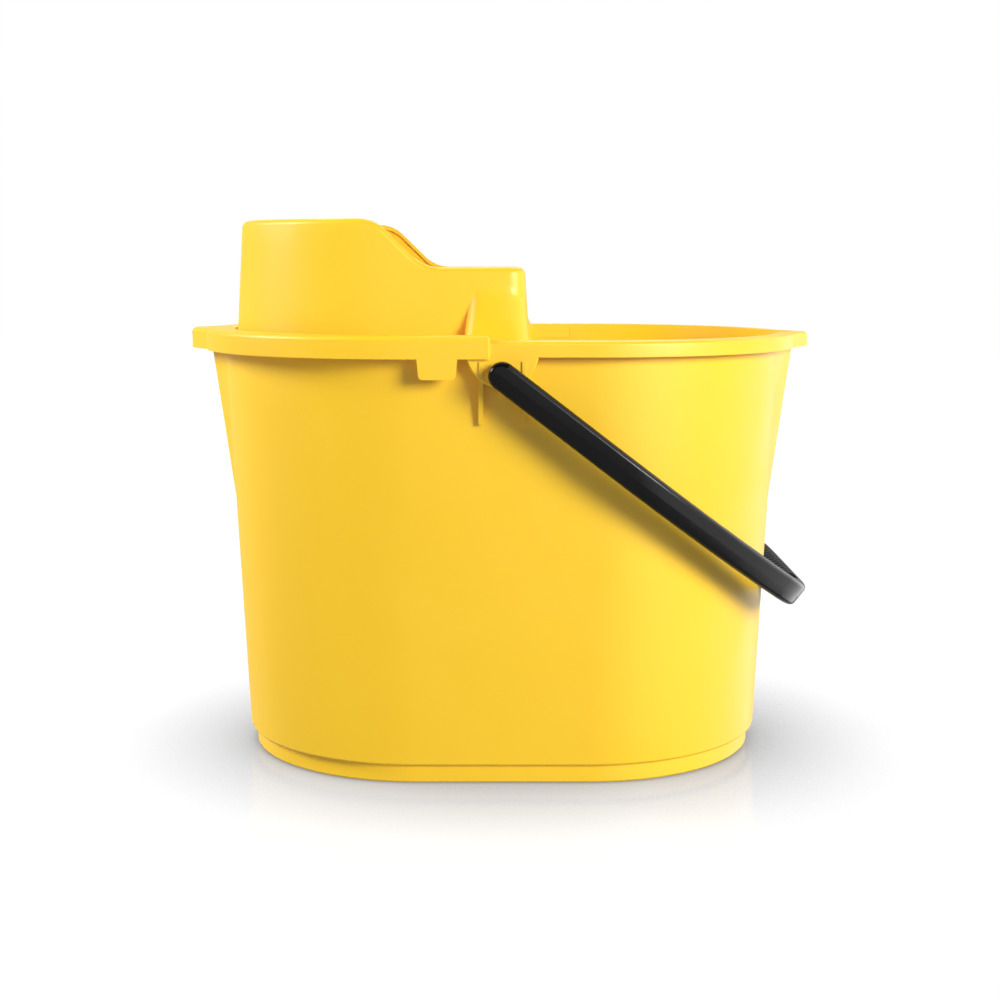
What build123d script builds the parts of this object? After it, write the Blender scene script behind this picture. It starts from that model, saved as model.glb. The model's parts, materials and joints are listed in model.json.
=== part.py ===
from build123d import *
import os
from math import acos, atan2, cos, hypot, radians, sin, sqrt, tan

# Mop bucket with a lift-out wringer and a bail handle, in millimetres.
# The origin is on the floor under the tub's centre. +X runs along the tub to its free end, +Z is up.
# The wringer sits over the -X half of the mouth, and the bail hangs over the +X end.

# Tub, outside sizes
half_straight = 50.0        # centre to where each round end begins
foot_radius = 106.0         # round ends of the ring that stands on the floor
foot_height = 11.0
foot_step = 3.8             # wall beyond the foot, just above it
wall_flare = 10.9           # how much the round ends widen from the foot to the rim
tub_height = 256.3          # floor to rim crest
wall = 2.4
floor_sheet = 2.4
floor_round = 7.0           # inside corner between floor and wall
foot_edge_bevel = 1.0
wall_edge_round = 2.2       # lower edge of the wall, above the foot

# Rim of the tub
rim_overhang = 8.3          # rim face beyond the wall
rim_drop = 8.9              # crest to the bottom of the skirt
rim_sheet = 2.4
rim_round = 3.0

# Pouring lips, a shallow V at each end of the tub
lip_reach = 10.8            # beyond the round end, at the crest
lip_depth = 122.0           # crest to where the V fades out in the wall
lip_half_angle = 60.0
lip_round = 7.0
lip_kink_round = 9.0        # where the rim turns from the round end into the V
lip_flats = 4               # flats that round the tip in the wall

# Pivot ears under the rim, one on each long side
ear_radius = 20.0
ear_drop = 5.8              # crest to the ear's centre
ear_bevel = 0.8             # along its outer edge
gusset_offset = 11.8        # gussets left and right of the pivot
gusset_width = 2.7
gusset_drop = 46.3          # crest to the lower end of the gussets
gusset_foot = 3.2           # gusset depth at its lower end
ear_rib = 0.9               # ribs on the ear's face, in line with the gussets
ear_rib_width = 2.0
ear_rib_inset = 1.2         # their ends, from the ear's edge and from the cap

# Pivots: a stud on each ear turns in a blind socket in the bail's arm
pivot_drop = 18.5           # crest to the pivot's axis
stud_radius = 4.5
stud_clearance = 0.05       # radial, in the socket
shoulder_radius = 6.4       # spaces the arm from the ear
side_clearance = 0.4        # shoulder to the arm, and stud to the socket's end
socket_skin = 1.8           # arm left outside the socket

# Cap of the wringer, which hooks over the tub's rim
hook_clearance = 0.4
cap_sheet = 2.3
cap_end = -6.5
cap_overlap = 0.9           # skirt below the tub's own rim
cap_round = 3.2
cap_end_bevel = 1.2
inside_clearance = 1.0      # wringer to the tub's inner wall
deck_drop = 12.3            # crest to the underside of the deck
deck_sheet = 2.4
tab_left = -46.8
tab_right = -24.3
tab_taper = 1.2
tab_drop = 11.2             # below the cap's skirt
tab_round = 2.5

# Hood of the wringer
hood_radius = 92.0          # round back, at the underside of the deck
hood_back_gap = 2.8         # behind the round back, to the edge of the deck
hood_front = 16.2           # front wall, same level
hood_corner = 13.0
hood_draft = 3.7
hood_wall = 2.6
hood_rise = 66.9            # rim crest to the tall back's top
hood_fall = 27.4            # tall back's top to the low front's top
hood_low_run = 60.7         # length of the low front
hood_slope_run = 28.0       # length of the slope between them
hood_slope_top_round = 21.0
hood_slope_end_round = 23.0
hood_lip = 4.0              # rolled-in lip along the top
hood_lip_sheet = 2.6
hood_lip_round = 4.0
bar_reach = 1.5             # stiffening bar across the foot of the front wall
bar_rise = 6.2              # rim crest to the bar's top
bar_bevel = 1.2

# Buttresses at the hood's front corners
buttress_gap = 4.8          # their tops below the low front's top
buttress_length_low = 38.4
buttress_length_high = 34.3
buttress_round = 8.0        # at the left, in flats
buttress_round_flats = 4
buttress_corner = 13.0      # at the right, in flats
buttress_corner_flats = 4
buttress_sink = 0.8         # top of the buttress inside the hood's wall
buttress_curve = 1.6        # how hollow its front is: 1 is straight
buttress_steps = 4          # flats that make up the hollow front

# Sieve under the deck
sieve_ledge = 7.4           # deck left inside the hood's round back
sieve_radius_low = 52.0     # inside, at the floor
sieve_depth = 118.0         # deck's top to the sieve's floor
sieve_wall = 2.4
sieve_rib_count = 16        # the wall has a flat at each rib and one between
sieve_rib_width = 2.6
sieve_rib_height = 4.0
sieve_rib_stop = 14.0       # ribs fade out below the deck
slot_rows = 2
slot_start = 10.0           # above the sieve's floor
slot_width = 5.0
slot_length = 34.0
slot_spacing = 46.0         # from row to row
drain_count = 12            # slots in the sieve's floor
drain_length = 22.0
drain_edge = 11.0           # from their outer ends to the sieve's wall

# Bail handle
arm_clearance = 1.5         # arms to the cap's skirt
arm_depth = 7.2             # channel depth
bail_width = 15.4
bail_web = 2.6
bail_flange = 2.2
bail_room = 35.8            # crossbar's outside beyond the rim's tip
bail_sweep = 210.0          # radius with which the arms bend in round the tub's end
bail_sweep_angle = 40.0
bail_corner = 54.0          # radius from there into the crossbar
bail_round = 3.4
rest_clearance = 0.5        # grip to the end wall where the bail hangs
grip_length = 90.0
grip_radius = 7.4           # of the ribs, round an axis along the crossbar
grip_sides = 16             # flats round that axis
grip_rib_pitch = 7.4
grip_rib_width = 3.8
grip_core_inset = 1.1

# Levels and lines that several pieces share
wall_radius_low = foot_radius + foot_step
wall_radius_high = wall_radius_low + wall_flare
floor_high = foot_height + floor_sheet
rim_radius = wall_radius_high + rim_overhang
rim_low = tub_height - rim_drop
pivot_height = tub_height - pivot_drop
cap_low = rim_low - cap_overlap
cap_seat = tub_height + hook_clearance
cap_high = cap_seat + cap_sheet
cap_radius = rim_radius + hook_clearance + cap_sheet
arm_inner = cap_radius + arm_clearance
arm_outer = arm_inner + arm_depth
deck_low = tub_height - deck_drop
deck_high = deck_low + deck_sheet
hood_high = tub_height + hood_rise
hood_low = hood_high - hood_fall
sieve_floor = deck_high - sieve_depth
far_out = 2 * tub_height    # past everything, for trimming
hair = 0.01                 # for picking edges by place


def wall_radius(height):
    """Outer radius of the tub's round ends at a height."""
    share = (height - foot_height) / (tub_height - foot_height)
    return wall_radius_low + share * wall_flare


def lip_tip(height):
    """Tip of the lip's V on the outside of the wall, from the tub's centre, at a height."""
    share = (height - tub_height + lip_depth) / lip_depth
    return half_straight + wall_radius(height) + lip_reach * share


rim_tip = lip_tip(tub_height) + rim_overhang
deck_radius = wall_radius(deck_low) - wall - inside_clearance
hood_centre = hood_radius + hood_back_gap - half_straight - deck_radius


def ease(sharp_edges, radius):
    """Rounds edges by three flats around the true arc: one cut first, then both of its edges."""
    turn = radians(90 / 4)
    first_leg = radius * (2 - sqrt(2))
    second_leg = radius * (tan(turn) - tan(turn / 2))
    slack = first_leg / 5
    chamfer(sharp_edges, first_leg)

    def bounds_the_flat(edge):
        reach = min(sharp.distance_to(edge @ 0.5) for sharp in sharp_edges)
        return abs(reach - first_leg) < slack

    chamfer(edges(Select.LAST).filter_by(bounds_the_flat), second_leg)


def stadium(radius, mode=Mode.ADD):
    """Adds the tub's plan with the given end radius to the sketch, or takes it away."""
    SlotCenterToCenter(2 * half_straight, 2 * radius, mode=mode)


def lip_outline(tip, side, flats):
    """Adds the V of one lip. Its tip, at a distance from the centre, is rounded by flats, or sharp."""
    lean = 90 - lip_half_angle
    sharp = tip + lip_round * (1 / cos(radians(lean)) - 1)
    back = sharp - 2 * lip_reach
    half = (sharp - back) / tan(radians(lean))
    turns = [radians(lean * (2 * step / flats - 1)) for step in range(flats + 1)] if flats else []
    nose = [(tip + lip_round * (cos(turn) - 1), lip_round * sin(turn)) for turn in turns] or [(sharp, 0)]
    Polygon(*[(side * x, y) for x, y in [(back, -half), *nose, (back, half)]], align=None)


def lip_wedge(growth, side):
    """Adds the V of one lip in the tub's wall, moved outwards by a growth."""
    sections = []
    for level in (tub_height - lip_depth, tub_height):
        with BuildSketch(Plane.XY.offset(level)) as section:
            lip_outline(lip_tip(level) + growth, side, lip_flats)
        sections.append(section.sketch)
    loft(sections, ruled=True)


def rim_plan(growth):
    """Plan of the rim with both lips, moved outwards by a growth."""
    with BuildSketch() as plan:
        stadium(rim_radius)
        for side in (1, -1):
            lip_outline(rim_tip, side, 0)
        fillet(vertices().filter_by(lambda v: abs(v.Y) < hair), lip_round)
        kinks = vertices().filter_by(lambda v: abs(v.X) > half_straight + hair and abs(v.Y) > lip_round)
        fillet(kinks, lip_kink_round)
        if growth:
            offset(amount=growth)
    return plan.sketch


def side_plane(side, distance):
    """Upright plane along X at a distance from the middle: local x is X, local y is Z."""
    return Plane(origin=(0, side * distance, 0), x_dir=(1, 0, 0), z_dir=(0, -1, 0))


# Space inside the tub
with BuildPart() as tub_room:
    with BuildSketch(Plane.XY.offset(floor_high)):
        stadium(wall_radius(floor_high) - wall)
    with BuildSketch(Plane.XY.offset(tub_height)):
        stadium(wall_radius_high - wall)
    loft(ruled=True)
    ease(tub_room.faces().sort_by(Axis.Z)[0].edges(), floor_round)
    for side in (1, -1):
        lip_wedge(-wall, side)

# Tub: tapered wall with lips, foot ring, rim and ears
with BuildPart() as bucket:
    with BuildSketch(Plane.XY.offset(foot_height)):
        stadium(wall_radius_low)
    with BuildSketch(Plane.XY.offset(tub_height)):
        stadium(wall_radius_high)
    loft(ruled=True)
    ease(bucket.faces().sort_by(Axis.Z)[0].edges(), wall_edge_round)
    for side in (1, -1):
        lip_wedge(0, side)
    with BuildSketch():
        stadium(foot_radius)
    extrude(amount=foot_height)
    chamfer(bucket.faces().sort_by(Axis.Z)[0].edges(), foot_edge_bevel)
    with BuildSketch():
        stadium(foot_radius - wall)
    extrude(amount=foot_height, mode=Mode.SUBTRACT)

    # Rim: a flat top sheet and a skirt, open below
    with BuildSketch(Plane.XY.offset(tub_height - rim_sheet)):
        add(rim_plan(0))
    extrude(amount=rim_sheet)
    with BuildSketch(Plane.XY.offset(rim_low)):
        add(rim_plan(0))
        add(rim_plan(-rim_sheet), mode=Mode.SUBTRACT)
    extrude(amount=rim_drop)
    add(tub_room.part, mode=Mode.SUBTRACT)
    crest = bucket.faces().filter_by(Axis.Z).sort_by(Axis.Z)[-1]
    ease(crest.outer_wire().edges(), rim_round)

    # Ears, flush with the skirt, each with two gussets to the wall and a stud for the bail
    ear_centre = tub_height - ear_drop
    ear_edge = ear_centre - sqrt(ear_radius**2 - gusset_offset**2)
    ear_back = rim_radius - rim_sheet / 2
    gusset_low = tub_height - gusset_drop
    gusset_wall = wall_radius(gusset_low)
    stud_end = arm_outer - socket_skin - side_clearance
    for side in (1, -1):
        with BuildSketch(side_plane(side, rim_radius - ear_bevel)) as ear:
            with Locations((0, ear_centre)):
                Circle(ear_radius)
            with Locations((0, rim_low + rim_sheet)):
                Rectangle(far_out, far_out, align=(Align.CENTER, Align.MIN), mode=Mode.SUBTRACT)
        extrude(amount=side * (rim_sheet - ear_bevel))
        extrude(ear.sketch, amount=-side * ear_bevel, taper=45)
        for rib_x in (-gusset_offset, gusset_offset):
            with BuildSketch(Plane.YZ.offset(rib_x)):
                Polygon(
                    (side * (gusset_wall - wall / 2), gusset_low),
                    (side * (gusset_wall + gusset_foot), gusset_low),
                    (side * ear_back, ear_edge + rim_sheet),
                    (side * ear_back, tub_height - rim_sheet / 2),
                    (side * (wall_radius_high - wall / 2), tub_height - rim_sheet / 2),
                    align=None,
                )
            extrude(amount=gusset_width / 2, both=True)
            with BuildSketch(side_plane(side, ear_back)):
                with Locations((rib_x, ear_edge + ear_rib_inset)):
                    Rectangle(
                        ear_rib_width,
                        cap_low - ear_edge - 2 * ear_rib_inset,
                        align=(Align.CENTER, Align.MIN),
                    )
            extrude(amount=-side * (rim_sheet / 2 + ear_rib))
        for radius, end in ((shoulder_radius, arm_inner - side_clearance), (stud_radius, stud_end)):
            with BuildSketch(side_plane(side, ear_back)):
                with Locations((0, pivot_height)):
                    Circle(radius)
            extrude(amount=-side * (end - ear_back))

bucket.part.label = "bucket"


def hood_narrowing(height):
    """How far the hood has drawn in at a height, by its draft."""
    return (height - deck_low) * tan(radians(hood_draft))


def hood_outline(inset, height):
    """Adds the hood's D-shaped plan at a height, drawn in by an inset."""
    shrink = inset + hood_narrowing(height)
    radius = hood_radius - shrink
    front = hood_front - shrink
    with BuildLine() as outline:
        back = CenterArc((hood_centre, 0), radius, 90, 180)
        Polyline(back @ 1, (front, -radius), (front, radius), back @ 0)
    make_face(outline.edges())
    fillet(vertices().group_by(Axis.X)[-1], hood_corner - shrink)


def hood_block(inset, low, high, mode=Mode.ADD):
    """Adds the hood's tapered block between two heights, drawn in by an inset, or takes it away."""
    sections = []
    for level in (low, high):
        with BuildSketch(Plane.XY.offset(level)) as section:
            hood_outline(inset, level)
        sections.append(section.sketch)
    loft(sections, ruled=True, mode=mode)


def above_hood(drop):
    """Adds the region above the hood's falling top line, lowered by a drop, seen from the side."""
    slope_end = hood_front - hood_low_run
    slope_top = slope_end - hood_slope_run
    Polygon(
        (-far_out, hood_high - drop),
        (slope_top, hood_high - drop),
        (slope_end, hood_low - drop),
        (far_out, hood_low - drop),
        (far_out, far_out),
        (-far_out, far_out),
        align=None,
    )
    fillet(vertices().sort_by_distance((slope_top, hood_high - drop))[0], hood_slope_top_round)
    fillet(vertices().sort_by_distance((slope_end, hood_low - drop))[0], hood_slope_end_round)


def along_hood_top(edge):
    """Whether an edge of the hood runs along its top line, neither upright nor from side to side."""
    run = edge.tangent_at(0.5)
    upright = abs(run.Z) > cos(radians(2 * hood_draft))
    across = hypot(run.X, run.Z) < hair and edge.center().X < 0
    return edge.center().Z > hood_low - hair and not upright and not across


def rounded_by_flats(corner, leg_x, leg_y, flats):
    """Points along a quarter round at a corner of a plan, with legs along X and Y that point inwards."""
    turns = [radians(90 * step / flats) for step in range(flats + 1)]
    return [
        (corner[0] + leg_x * (1 - sin(turn)), corner[1] + leg_y * (1 - cos(turn)))
        for turn in turns
    ]


def buttress(side, inset, steps):
    """Adds one front buttress, drawn in by an inset, from the deck's underside up by some of its steps."""
    sections = []
    for step in range(steps + 1):
        share = step / buttress_steps
        level = deck_low + share * (hood_low - buttress_gap - deck_low)
        length = buttress_length_low + share * (buttress_length_high - buttress_length_low)
        hood_face = hood_radius - hood_narrowing(level)
        bulge = (deck_radius - hood_radius + buttress_sink) * (1 - share) ** buttress_curve
        reach = hood_face + bulge - buttress_sink - inset
        front = hood_front - hood_narrowing(level) - share * buttress_sink - inset
        left = hood_front - length + inset
        corner = buttress_corner - inset
        turn = buttress_round - inset
        outline = [(left, 0)]
        outline += rounded_by_flats((left, reach), turn, -turn, buttress_round_flats)[::-1]
        outline += rounded_by_flats((front, reach), -corner, -corner, buttress_corner_flats)
        outline += [(front, 0)]
        with BuildSketch(Plane.XY.offset(level)) as section:
            Polygon(*[(x, side * y) for x, y in outline], align=None)
        sections.append(section.sketch)
    loft(sections, ruled=True)


def sieve_radius(height):
    """Inner radius of the sieve at a height."""
    share = (height - sieve_floor) / sieve_depth
    return sieve_radius_low + share * (hood_radius - hood_wall - sieve_ledge - sieve_radius_low)


def sieve_plane(angle, height):
    """Upright plane through the sieve's axis: local x points outwards, local y up."""
    turn = radians(angle)
    return Plane(
        origin=(hood_centre, 0, height),
        x_dir=(cos(turn), sin(turn), 0),
        z_dir=(sin(turn), -cos(turn), 0),
    )


def sieve_cone(skin, mode):
    """Adds the sieve's many-sided cone with a skin around it, or takes it away."""
    sides = 2 * sieve_rib_count
    sections = []
    for level, radius in ((sieve_floor - skin, sieve_radius_low), (deck_high, sieve_radius(deck_high))):
        with BuildSketch(Plane.XY.offset(level)) as section:
            with Locations((hood_centre, 0)):
                RegularPolygon(radius + skin, sides, major_radius=False, rotation=180 / sides)
        sections.append(section.sketch)
    loft(sections, ruled=True, mode=mode)


# Space inside the hood, under its rolled lip, and the mouth inside the lip
with BuildPart() as hood_room:
    hood_block(hood_wall, deck_high, hood_high)
    with BuildSketch(Plane.XZ):
        above_hood(hood_lip_sheet)
    extrude(amount=far_out, both=True, mode=Mode.SUBTRACT)
    hood_block(hood_lip, deck_high, hood_high)

# Hollow under each buttress, outside the hood
with BuildPart() as buttress_room:
    for side in (1, -1):
        buttress(side, hood_wall, buttress_steps // 2)
    hood_block(0, deck_low, hood_high, Mode.SUBTRACT)


def on_cap_outside(edge):
    """Whether an edge of the cap's cut end lies on its outer or top face."""
    place = edge.center()
    outside = abs(place.Y) > cap_radius - cap_round and place.Z > cap_high - cap_round
    return outside or abs(abs(place.Y) - cap_radius) < hair or abs(place.Z - cap_high) < hair


# Cap of the wringer, all round the rim at first, then cut to the back half
with BuildPart() as cap:
    with BuildSketch(Plane.XY.offset(cap_seat)):
        add(rim_plan(hook_clearance + cap_sheet))
        stadium(deck_radius - cap_sheet, Mode.SUBTRACT)
    extrude(amount=cap_sheet)
    with BuildSketch(Plane.XY.offset(cap_low)):
        add(rim_plan(hook_clearance + cap_sheet))
        add(rim_plan(hook_clearance), mode=Mode.SUBTRACT)
    extrude(amount=cap_high - cap_low)
    with BuildSketch(Plane.XY.offset(deck_low)):
        stadium(deck_radius)
        stadium(deck_radius - cap_sheet, Mode.SUBTRACT)
    extrude(amount=cap_high - deck_low)
    crest = cap.faces().filter_by(Axis.Z).sort_by(Axis.Z)[-1]
    ease(crest.outer_wire().edges(), cap_round)
    split(bisect_by=Plane.YZ.offset(cap_end), keep=Keep.BOTTOM)
    ends = cap.edges().filter_by(lambda e: abs(e.center().X - cap_end) < hair)
    chamfer(ends.filter_by(on_cap_outside), cap_end_bevel)
    for side in (1, -1):
        with BuildSketch(side_plane(side, cap_radius)):
            Polygon(
                (tab_left, cap_low + tab_round),
                (tab_right, cap_low + tab_round),
                (tab_right - tab_taper, cap_low - tab_drop),
                (tab_left + tab_taper, cap_low - tab_drop),
                align=None,
            )
            fillet(vertices().group_by(Axis.Y)[0], tab_round)
        extrude(amount=side * cap_sheet)

# Wringing ribs up the inside of the sieve
with BuildPart() as sieve_ribs:
    rib_low = sieve_floor - sieve_wall / 2
    rib_high = deck_high - sieve_rib_stop
    for step in range(sieve_rib_count):
        with BuildSketch(sieve_plane(360 / sieve_rib_count * step, 0)):
            Polygon(
                (sieve_radius(rib_low) + sieve_wall / 2, rib_low),
                (sieve_radius(rib_high) + sieve_wall / 2, rib_high),
                (sieve_radius(rib_low) - sieve_rib_height, rib_low),
                align=None,
            )
        extrude(amount=sieve_rib_width / 2, both=True)

# Rows of drain slots through the sieve's wall, between the ribs
with BuildPart() as sieve_slots:
    for step in range(sieve_rib_count):
        angle = 360 / sieve_rib_count * (step + 0.5)
        for row in range(slot_rows):
            middle = sieve_floor + slot_start + slot_length / 2 + row * slot_spacing
            with BuildSketch(sieve_plane(angle, middle)):
                with Locations((sieve_radius(middle) + sieve_wall / 2, 0)):
                    Rectangle(sieve_radius_low / 2, slot_length)
            extrude(amount=slot_width / 2, both=True)

# Wringer: hood, buttresses, deck, cap and sieve in one moulding
with BuildPart() as wringer:
    hood_block(0, deck_low, hood_high)
    with BuildSketch(Plane.XZ):
        above_hood(0)
    extrude(amount=far_out, both=True, mode=Mode.SUBTRACT)
    ease(wringer.edges().filter_by(along_hood_top), hood_lip_round)
    for side in (1, -1):
        buttress(side, 0, buttress_steps)
    with BuildSketch(Plane.XZ.offset(hood_corner - hood_radius)):
        Polygon(
            (hood_front - hood_wall, deck_low),
            (hood_front + bar_reach, deck_low),
            (hood_front + bar_reach, tub_height + bar_rise),
            (hood_front - hood_wall, tub_height + bar_rise),
            align=None,
        )
        chamfer(vertices().sort_by_distance((hood_front + bar_reach, tub_height + bar_rise))[0], bar_bevel)
    extrude(amount=2 * (hood_radius - hood_corner))
    with BuildSketch(Plane.XY.offset(deck_low)):
        stadium(deck_radius)
        with Locations((hood_front, 0)):
            Rectangle(far_out, far_out, align=(Align.MIN, Align.CENTER), mode=Mode.SUBTRACT)
    extrude(amount=deck_sheet)
    add(cap.part)
    sieve_cone(sieve_wall, Mode.ADD)
    add(hood_room.part, mode=Mode.SUBTRACT)
    add(buttress_room.part, mode=Mode.SUBTRACT)
    sieve_cone(0, Mode.SUBTRACT)
    add(sieve_ribs.part)
    add(sieve_slots.part, mode=Mode.SUBTRACT)
    with BuildSketch(Plane.XY.offset(sieve_floor)):
        with Locations((hood_centre, 0)):
            with PolarLocations(sieve_radius_low - drain_edge - drain_length / 2, drain_count):
                Rectangle(drain_length, slot_width)
    extrude(amount=-sieve_wall, mode=Mode.SUBTRACT)

wringer.part.label = "wringer"

# Bail. It is drawn flat in its own plane, with the pivot at the origin, and that plane hangs at the
# tilt at which the grip comes to rest against the tub's end wall.
bail_reach = rim_tip + bail_room
grip_axis = bail_reach - bail_web / 2 - grip_radius
wall_taper = atan2(wall_flare, tub_height - foot_height)
wall_reach = (half_straight + wall_radius(pivot_height)) * cos(wall_taper)
rest_tilt = wall_taper + acos((wall_reach + rest_clearance + grip_radius) / grip_axis)
along_bail = (cos(rest_tilt), 0, -sin(rest_tilt))
bail_plane = Plane(origin=(0, 0, pivot_height), x_dir=along_bail, z_dir=(sin(rest_tilt), 0, cos(rest_tilt)))


def bail_plate(inset):
    """The bail's outer line in its own plane, filled in and drawn in by an inset."""
    sweep = radians(bail_sweep_angle)
    bend = bail_reach - bail_sweep * sin(sweep) - bail_corner * (1 - sin(sweep))
    with BuildSketch() as plate:
        with BuildLine() as line:
            arm = Line((0, inset - arm_outer), (bend, inset - arm_outer))
            sweep_arc = JernArc(arm @ 1, arm % 1, bail_sweep - inset, bail_sweep_angle)
            corner_arc = JernArc(sweep_arc @ 1, sweep_arc % 1, bail_corner - inset, 90 - bail_sweep_angle)
            Line(corner_arc @ 1, (bail_reach - inset, 0))
            mirror(line.line, about=Plane.XZ)
            Line((0, inset - arm_outer), (0, arm_outer - inset))
        make_face()
    return plate.sketch


def on_bail_outside(edge):
    """Whether an edge of the bail bounds its outer face, above or below or round a pivot."""
    place = bail_plane.to_local_coords(edge.center())
    upright = edge.geom_type == GeomType.LINE and abs(place.Z) < hair
    along_arm = abs(abs(place.Y) - arm_outer) < hair
    along_bar = abs(place.X - bail_reach) < hair
    radius = edge.radius if edge.geom_type == GeomType.CIRCLE else 0
    round_corner = min(abs(radius - bail_corner), abs(radius - bail_sweep)) < hair
    return not upright and (along_arm or along_bar or round_corner)


with BuildPart() as handle:
    channel = bail_width - 2 * bail_flange
    for inset, width, mode in (
        (0, bail_width, Mode.ADD),
        (arm_depth, bail_width, Mode.SUBTRACT),
        (bail_web, channel, Mode.SUBTRACT),
    ):
        with BuildSketch(bail_plane.offset(-width / 2)):
            add(bail_plate(inset))
        extrude(amount=width, mode=mode)
    for side in (1, -1):
        with BuildSketch(side_plane(side, arm_outer)):
            with Locations((0, pivot_height)):
                Circle(bail_width / 2)
        extrude(amount=side * arm_depth)
    ease(handle.edges().filter_by(on_bail_outside), bail_round)
    for side in (1, -1):
        with BuildSketch(side_plane(side, arm_inner)):
            with Locations((0, pivot_height)):
                Circle(stud_radius + stud_clearance)
        extrude(amount=-side * (arm_depth - socket_skin), mode=Mode.SUBTRACT)

    # Ribbed round grip along the crossbar, set into its channel
    rib_steps = int(grip_length / grip_rib_pitch)
    ribs = [((step - rib_steps / 2) * grip_rib_pitch, grip_rib_width, 0) for step in range(rib_steps + 1)]
    for middle, width, inset in [(0, grip_length, grip_core_inset), *ribs]:
        with BuildSketch(Plane(origin=(0, middle, pivot_height), x_dir=along_bail, z_dir=(0, -1, 0))):
            with Locations((grip_axis, 0)):
                radius = grip_radius - inset
                RegularPolygon(radius, grip_sides, major_radius=False, rotation=180 / grip_sides)
        extrude(amount=width / 2, both=True)

handle.part.label = "handle"

os.makedirs("parts", exist_ok=True)
for piece in (bucket, wringer, handle):
    export_step(piece.part, f"parts/{piece.part.label}.step")
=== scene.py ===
import json
from math import atan, cos, pi, radians, sin

import bmesh
import bpy
from mathutils import Matrix, Vector


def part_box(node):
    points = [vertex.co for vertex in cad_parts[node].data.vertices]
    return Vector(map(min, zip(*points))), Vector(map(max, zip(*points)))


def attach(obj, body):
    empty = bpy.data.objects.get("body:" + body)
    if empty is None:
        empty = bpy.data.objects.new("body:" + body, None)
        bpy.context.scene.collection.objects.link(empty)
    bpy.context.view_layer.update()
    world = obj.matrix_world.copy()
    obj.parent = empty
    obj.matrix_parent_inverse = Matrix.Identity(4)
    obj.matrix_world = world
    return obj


# Looks for the mop bucket: plastics, level scale, floor, light and camera. All lengths are in metres.

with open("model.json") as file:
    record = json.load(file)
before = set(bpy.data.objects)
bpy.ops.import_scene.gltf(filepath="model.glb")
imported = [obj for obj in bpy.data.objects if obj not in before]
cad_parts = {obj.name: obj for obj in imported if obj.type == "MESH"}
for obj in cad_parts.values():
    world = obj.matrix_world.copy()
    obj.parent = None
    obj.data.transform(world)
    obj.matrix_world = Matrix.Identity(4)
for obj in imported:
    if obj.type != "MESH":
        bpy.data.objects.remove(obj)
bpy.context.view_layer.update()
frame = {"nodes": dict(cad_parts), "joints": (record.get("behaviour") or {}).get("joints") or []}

# Camera that took the photo
camera_place = (-0.00128, -1.0, 0.2981)
camera_pitch = 8.42         # degrees below the horizon
camera_lens = 57.6          # mm, on a sensor of sensor_width
sensor_width = 36.0
nearest_seen = 0.01

# Tub's inner wall on the far side, where the level scale stands
rim_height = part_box("bucket")[1].z
foot_height = 0.011
floor_sheet = 0.0024
floor_level = foot_height + floor_sheet
half_straight = 0.050       # centre to where each round end begins
wall_at_rim = 0.1183        # middle plane to the wall's inside, at the rim
wall_flare = 0.0109         # how far the wall leans out from the foot to the rim
wall_lean = wall_flare / (rim_height - foot_height)

# Level scale
litres = (15, 12, 9, 6, 3)
top_level = 0.2473          # height of the first line
top_tick = 0.0185
tick = 0.0105
scale_bar_x = 0.0478
scale_bar_top = 0.2535
scale_bar_low = 0.052
scale_line = 0.0013         # width of the bar and of its ticks
scale_relief = 0.0006
scale_root = 0.0004         # how far its back is set into the wall
scale_bevel = 0.0002
digit_size = 0.0075
digit_gap = 0.0012          # from a tick down to its number
digit_inset = 2 * scale_line    # from the bar's middle to its numbers
digit_bevel = 0.0001
level_halvings = 40         # steps that close in on a line's height

# Bail, for the crease along its outer face
swing = next(joint for joint in frame["joints"] if joint["name"] == "handle_swing")
pivot_height = swing["pos_m"][2]
bail_tilt = 37.574          # degrees from +X down to its arms
crease_slope = 0.045        # fall to each side, over the distance

# Shading of the solids
noise_low = 0.3             # most of a noise lies between these two
noise_high = 0.7
weld_gap = 0.000002         # points closer than this are joined
smooth_up_to = 32           # degrees between two faces

# Stage: a round white floor that sweeps up into a low wall
floor_reach = 3.5
sweep_radius = 0.6
wall_top = 1.9
stage_steps = 96
sweep_steps = 12
contact_reach = 0.15        # how far from the object the painted contact shadow on the floor reaches
contact_dark = 0.08         # openness at which the painted contact shadow turns the floor black
contact_white = 0.89        # openness from which the floor is white, free of the painted contact shadow

# Light: strengths of the surround, and where the softboxes point
backdrop_light = 0.3
room_light = 0.05
floor_light = 0.58
floor_light_right = 0.1
light_target = (0, 0, 0.16)
panel_place = (0.45, -0.3, 0.3)     # panel beside the tub's right end, which faces straight inwards


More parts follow.
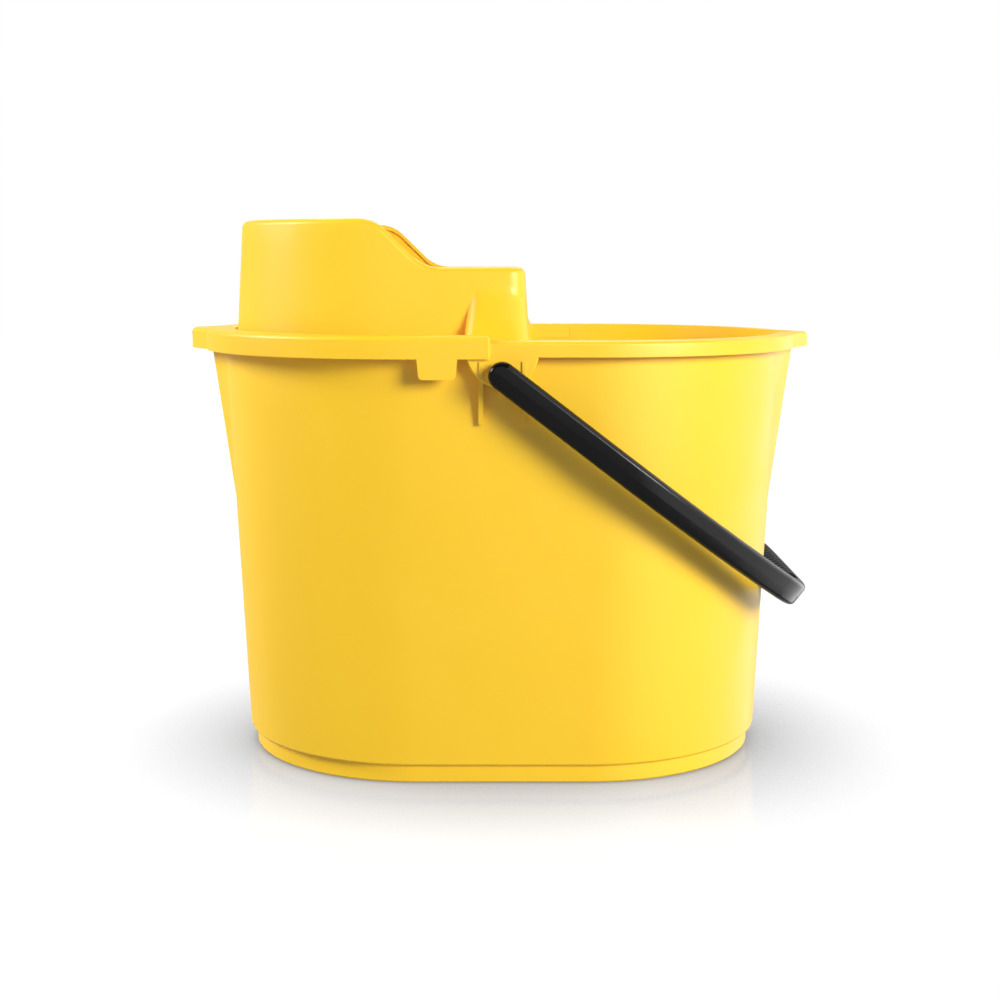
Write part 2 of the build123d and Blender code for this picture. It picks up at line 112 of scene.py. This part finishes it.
class Tree:
    """Node tree of a material or a world, with short calls that add and join nodes."""

    def __init__(self, owner):
        owner.use_nodes = True
        self.nodes = owner.node_tree.nodes
        self.links = owner.node_tree.links

    def add(self, kind, settings=None, **inputs):
        """Adds a node. An input is a number, a colour or the output of another node."""
        node = self.nodes.new(kind)
        for name, value in (settings or {}).items():
            setattr(node, name, value)
        self.fill(node, inputs)
        return node

    def fill(self, node, inputs):
        """Sets or links inputs of a node, named with _ for a space."""
        for name, value in inputs.items():
            self.join(value, node.inputs[name.replace("_", " ")])

    def join(self, value, socket):
        """Sets a socket to a value, or links it to another node's output."""
        if isinstance(value, bpy.types.NodeSocket):
            self.links.new(value, socket)
        else:
            socket.default_value = value

    def calculate(self, kind, operation, *values):
        """Adds a node that works out an operation on numbers or vectors."""
        node = self.add(kind, {"operation": operation})
        for value, socket in zip(values, node.inputs):
            self.join(value, socket)
        return node

    def math(self, operation, *values):
        """A number worked out from numbers."""
        return self.calculate("ShaderNodeMath", operation, *values).outputs["Value"]

    def ramp(self, value, start, end, low, high, shape="LINEAR"):
        """A value that goes from low to high between start and end, and stays level beyond them."""
        settings = {"interpolation_type": shape}
        inputs = {"Value": value, "From_Min": start, "From_Max": end, "To_Min": low, "To_Max": high}
        return self.add("ShaderNodeMapRange", settings, **inputs).outputs["Result"]


class Shader(Tree):
    """A material with its surface, and calls for noises, tints and bumps."""

    def __init__(self, name):
        self.material = bpy.data.materials.new(name)
        super().__init__(self.material)
        self.surface = self.nodes["Principled BSDF"]
        self.place = self.add("ShaderNodeTexCoord").outputs["Object"]

    def set(self, **inputs):
        """Sets or links inputs of the surface."""
        self.fill(self.surface, inputs)

    def noise(self, scale, detail=2.0):
        """A noise of the given number of features in a metre, between 0 and 1."""
        inputs = {"Vector": self.place, "Scale": scale, "Detail": detail}
        return self.add("ShaderNodeTexNoise", **inputs).outputs["Fac"]

    def spread(self, value, low, high):
        """Stretches the middle of a noise over a range."""
        return self.ramp(value, noise_low, noise_high, low, high)

    def tint(self, value, dark, light):
        """A colour between two, by a noise."""
        band = self.add("ShaderNodeValToRGB", Fac=value)
        places = (noise_low, noise_high)
        for element, place, colour in zip(band.color_ramp.elements, places, (dark, light)):
            element.position = place
            element.color = (*colour, 1)
        return band.outputs["Color"]

    def bump(self, height, distance, under=None):
        """A bump by a height, on top of another bump where one is given."""
        inputs = {"Height": height, "Distance": distance}
        if under:
            inputs["Normal"] = under
        return self.add("ShaderNodeBump", **inputs).outputs["Normal"]


def yellow_plastic():
    """Satin polypropylene: even colour with faint flow clouds, orange peel and a fine mould grain."""
    shader = Shader("yellow_plastic_satin")
    flow = shader.noise(scale=7.0, detail=3.0)
    patches = shader.noise(scale=38.0)
    peel = shader.bump(shader.noise(scale=110.0), distance=0.00006)
    grain = shader.bump(shader.noise(scale=900.0), distance=0.00002, under=peel)
    shader.set(
        Base_Color=shader.tint(flow, dark=(0.93, 0.56, 0.006), light=(0.95, 0.58, 0.010)),
        Roughness=shader.spread(patches, low=0.42, high=0.50),
        Normal=grain,
        IOR=1.5,
    )
    return shader.material


def bail_crease(shader):
    """Bump whose two sides fall away from the middle line of the bail's outer face."""
    tilt = radians(bail_tilt)
    upward = (sin(tilt), 0, cos(tilt))
    pivot = (0, 0, pivot_height)
    from_pivot = shader.calculate("ShaderNodeVectorMath", "SUBTRACT", shader.place, pivot)
    across = shader.calculate("ShaderNodeVectorMath", "DOT_PRODUCT", from_pivot.outputs["Vector"], upward)
    distance = shader.math("ABSOLUTE", across.outputs["Value"])
    return shader.bump(shader.math("MULTIPLY", distance, -crease_slope), distance=1.0)


def black_plastic():
    """Matt black plastic with a fine grain, and a crease along the middle of the bail's outer face."""
    shader = Shader("black_plastic_matt")
    clouds = shader.noise(scale=30.0)
    patches = shader.noise(scale=220.0)
    grain = shader.bump(shader.noise(scale=1400.0), distance=0.00002, under=bail_crease(shader))
    shader.set(
        Base_Color=shader.tint(clouds, dark=(0.003, 0.003, 0.003), light=(0.0045, 0.0045, 0.0045)),
        Roughness=shader.spread(patches, low=0.20, high=0.26),
        Normal=grain,
        Specular_IOR_Level=0.17,
    )
    return shader.material


def smooth_by_angle():
    """Node group that joins a mesh along its faces' edges and shades it smooth up to an angle."""
    group = bpy.data.node_groups.new("smooth_by_angle", "GeometryNodeTree")
    group.interface.new_socket("Geometry", in_out="INPUT", socket_type="NodeSocketGeometry")
    group.interface.new_socket("Geometry", in_out="OUTPUT", socket_type="NodeSocketGeometry")
    source = group.nodes.new("NodeGroupInput")
    result = group.nodes.new("NodeGroupOutput")
    plain = group.nodes.new("GeometryNodeRemoveAttribute")
    plain.inputs["Name"].default_value = "custom_normal"
    merge = group.nodes.new("GeometryNodeMergeByDistance")
    merge.inputs["Distance"].default_value = weld_gap
    angle = group.nodes.new("GeometryNodeInputMeshEdgeAngle")
    gentle = group.nodes.new("FunctionNodeCompare")
    gentle.operation = "LESS_THAN"
    gentle.inputs[1].default_value = radians(smooth_up_to)
    faces = group.nodes.new("GeometryNodeSetShadeSmooth")
    faces.domain = "FACE"
    edges = group.nodes.new("GeometryNodeSetShadeSmooth")
    edges.domain = "EDGE"
    joins = (
        (source.outputs[0], plain.inputs["Geometry"]),
        (plain.outputs["Geometry"], merge.inputs["Geometry"]),
        (merge.outputs["Geometry"], faces.inputs["Geometry"]),
        (faces.outputs["Geometry"], edges.inputs["Geometry"]),
        (angle.outputs["Unsigned Angle"], gentle.inputs[0]),
        (gentle.outputs[0], edges.inputs["Shade Smooth"]),
        (edges.outputs["Geometry"], result.inputs[0]),
    )
    for start, end in joins:
        group.links.new(start, end)
    return group


def dress(node, material, group):
    """Gives a CAD node its material and smooth shading."""
    node.data.materials.clear()
    node.data.materials.append(material)
    node.modifiers.new("smooth", "NODES").node_group = group
    weighted = node.modifiers.new("weighted", "WEIGHTED_NORMAL")
    weighted.keep_sharp = True


def wall_inside(height):
    """Distance from the middle plane to the tub's inside, at a height."""
    return wall_at_rim - (rim_height - height) * wall_lean


def volume_below(height):
    """Volume of the tub's inside from its floor to a height, without the pouring lips."""
    low = wall_inside(floor_level)
    high = wall_inside(height)
    straight = 4 * half_straight * (low + high) / 2
    rounded = pi * (low * low + low * high + high * high) / 3
    return (straight + rounded) * (height - floor_level)


def level_of(share):
    """Height at which the tub holds a share of what it holds at the top level."""
    low, high = floor_level, top_level
    for _ in range(level_halvings):
        middle = (low + high) / 2
        if volume_below(middle) < share * volume_below(top_level):
            low = middle
        else:
            high = middle
    return high


def on_far_wall(x, height):
    """Placement of a mark on the far inner wall, set into it by its root.

    Local x runs along X, y up the wall and z out of it, inwards.
    """
    turn = Matrix.Rotation(pi / 2 - atan(wall_lean), 4, "X")
    lift = Matrix.Translation((0, 0, (scale_relief - scale_root) / 2))
    return Matrix.Translation((x, wall_inside(height), height)) @ turn @ lift


def add_bar(mesh, x, height, width, length):
    """Adds a raised bar with bevelled edges, centred on a place of the far inner wall."""
    size = Matrix.Diagonal((width, length, scale_relief + scale_root, 1))
    made = bmesh.ops.create_cube(mesh, size=1, matrix=on_far_wall(x, height) @ size)
    edges = dict.fromkeys(edge for vertex in made["verts"] for edge in vertex.link_edges)
    bmesh.ops.bevel(mesh, geom=list(edges), offset=scale_bevel, segments=2, affect="EDGES")


def add_number(mesh, text, x, height):
    """Adds a raised number whose upper right corner lies at a place of the far inner wall."""
    curve = bpy.data.curves.new("number", "FONT")
    curve.body = text
    curve.size = digit_size
    curve.align_x = "RIGHT"
    curve.align_y = "TOP"
    curve.extrude = (scale_relief + scale_root) / 2
    curve.bevel_depth = digit_bevel
    curve.bevel_resolution = 0
    curve.resolution_u = 3
    writing = bpy.data.objects.new("number", curve)
    bpy.context.scene.collection.objects.link(writing)
    bpy.context.view_layer.update()
    shown = writing.evaluated_get(bpy.context.evaluated_depsgraph_get())
    solid = bpy.data.meshes.new_from_object(shown)
    solid.transform(on_far_wall(x, height))
    mesh.from_mesh(solid)
    bpy.data.objects.remove(writing)
    bpy.data.curves.remove(curve)
    bpy.data.meshes.remove(solid)


def level_scale(material):
    """Raised litre scale on the far inner wall, with its lines at true shares of the volume."""
    mesh = bmesh.new()
    bar_length = scale_bar_top - scale_bar_low
    add_bar(mesh, scale_bar_x, (scale_bar_top + scale_bar_low) / 2, scale_line, bar_length)
    for mark in litres:
        height = level_of(mark / litres[0])
        length = top_tick if mark == litres[0] else tick
        add_bar(mesh, scale_bar_x - length / 2, height, length, scale_line)
        add_number(mesh, str(mark), scale_bar_x - digit_inset, height - digit_gap)
    data = bpy.data.meshes.new("level_scale")
    mesh.to_mesh(data)
    mesh.free()
    data.materials.append(material)
    piece = bpy.data.objects.new("level_scale", data)
    bpy.context.scene.collection.objects.link(piece)
    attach(piece, "tub")


def stage_material():
    """White floor that shines by itself, with a painted contact shadow that dims its glow where the
    object stands close, and a faint gloss.
    """
    shader = Shader("white_floor")
    openness = shader.add("ShaderNodeAmbientOcclusion", {"samples": 8}, Distance=contact_reach)
    shader.set(
        Base_Color=(0.015, 0.015, 0.015, 1),
        Roughness=0.12,
        Specular_IOR_Level=0.06,
        Emission_Color=(1, 1, 1, 1),
        # The glow follows the openness, so the floor carries a painted contact shadow round the object.
        Emission_Strength=shader.ramp(
            openness.outputs["AO"], start=contact_dark, end=contact_white, low=0, high=1
        ),
    )
    return shader.material


def stage_profile():
    """Radius and height of the points from the floor's edge, round the sweep and up the wall."""
    profile = [(floor_reach, 0.0)]
    for step in range(1, sweep_steps + 1):
        turn = step / sweep_steps * pi / 2
        profile.append((floor_reach + sweep_radius * sin(turn), sweep_radius * (1 - cos(turn))))
    profile.append((floor_reach + sweep_radius, wall_top))
    return profile


def stage():
    """Builds the floor and its sweep by turning a profile round the upright axis.

    Returns a collection that keeps the softboxes off the floor, because it shines by itself.
    """
    profile = stage_profile()
    rows = len(profile)
    points = [(0, 0, 0)]
    faces = []
    for step in range(stage_steps):
        turn = 2 * pi * step / stage_steps
        after = (step + 1) % stage_steps
        points.extend((reach * cos(turn), reach * sin(turn), height) for reach, height in profile)
        faces.append((0, 1 + step * rows, 1 + after * rows))
        for row in range(rows - 1):
            start = 1 + step * rows + row
            end = 1 + after * rows + row
            faces.append((start, start + 1, end + 1, end))
    data = bpy.data.meshes.new("stage_floor")
    data.from_pydata(points, [], faces)
    data.polygons.foreach_set("use_smooth", [True] * len(data.polygons))
    data.materials.append(stage_material())
    floor = bpy.data.objects.new("stage_floor", data)
    bpy.context.scene.collection.objects.link(floor)
    floor.visible_diffuse = False
    floor.visible_glossy = False
    floor.visible_shadow = False
    unlit = bpy.data.collections.new("unlit")
    unlit.objects.link(floor)
    unlit.collection_objects[0].light_linking.link_state = "EXCLUDE"
    return unlit


def softbox(name, unlit, place, width, height, power, target=light_target, gloss_only=False):
    """A rectangular soft light that faces a target. It may be one that shows in gloss only."""
    data = bpy.data.lights.new(name, "AREA")
    data.shape = "RECTANGLE"
    data.size = width
    data.size_y = height
    data.energy = power
    light = bpy.data.objects.new(name, data)
    light.location = place
    light.rotation_euler = (Vector(target) - Vector(place)).to_track_quat("-Z", "Y").to_euler()
    light.visible_camera = False
    light.visible_diffuse = not gloss_only
    light.light_linking.receiver_collection = unlit
    bpy.context.scene.collection.objects.link(light)


def surround():
    """World light: a dim room, a pale backdrop low behind the object, and what the floor throws back."""
    world = bpy.data.worlds.new("surround")
    tree = Tree(world)
    direction = tree.add("ShaderNodeTexCoord").outputs["Generated"]
    right, back, up = tree.add("ShaderNodeSeparateXYZ", Vector=direction).outputs

    def fade(value, start, end, low, high):
        """A soft step between two levels."""
        return tree.ramp(value, start, end, low, high, shape="SMOOTHSTEP")

    behind = fade(back, start=0.0, end=0.6, low=0.0, high=backdrop_light)
    not_high = fade(up, start=0.35, end=0.75, low=1.0, high=0.0)
    over_floor = fade(up, start=-0.03, end=0.03, low=0.0, high=1.0)
    from_floor = fade(up, start=-0.03, end=0.03, low=1.0, high=room_light)
    floor = fade(right, start=0.0, end=0.8, low=floor_light, high=floor_light_right)
    backdrop = tree.math("MULTIPLY", tree.math("MULTIPLY", behind, not_high), over_floor)
    rest = tree.math("MULTIPLY", from_floor, floor)
    strength = tree.math("ADD", backdrop, rest)
    tree.fill(tree.nodes["Background"], {"Color": (1, 1, 1, 1), "Strength": strength})
    bpy.context.scene.world = world


def lighting(unlit):
    """A key from the right, one softbox at the left, a weaker one behind, and a little light from above.

    A panel beside the tub's right end and one in front show in gloss only.
    """
    softbox("key", unlit, place=(1.48, -1.64, 0.88), width=0.9, height=0.75, power=60)
    softbox("left", unlit, place=(-1.75, -0.05, 1.15), width=0.8, height=0.8, power=44)
    softbox("back", unlit, place=(0.0, 1.8, 1.9), width=1.6, height=0.8, power=28)
    softbox("above", unlit, place=(0.0, 0.3, 2.3), width=2.0, height=2.0, power=4)
    softbox(
        "panel", unlit, place=panel_place, target=(0, *panel_place[1:]),
        width=1.5, height=1.0, power=11, gloss_only=True,
    )
    softbox("front", unlit, place=(0.0, -1.6, 0.75), width=2.4, height=1.2, power=9, gloss_only=True)
    surround()


def camera():
    """The photo's camera."""
    data = bpy.data.cameras.new("camera")
    data.lens = camera_lens
    data.sensor_width = sensor_width
    data.clip_start = nearest_seen
    seen = bpy.data.objects.new("camera", data)
    seen.location = camera_place
    seen.rotation_euler = (radians(90 - camera_pitch), 0, 0)
    bpy.context.scene.collection.objects.link(seen)
    bpy.context.scene.camera = seen


yellow = yellow_plastic()
black = black_plastic()
shading = smooth_by_angle()
for name, material in (("bucket", yellow), ("wringer", yellow), ("handle", black)):
    dress(frame["nodes"][name], material, shading)
level_scale(yellow)
unlit_floor = stage()
lighting(unlit_floor)
camera()
bpy.context.scene.view_settings.view_transform = "Standard"
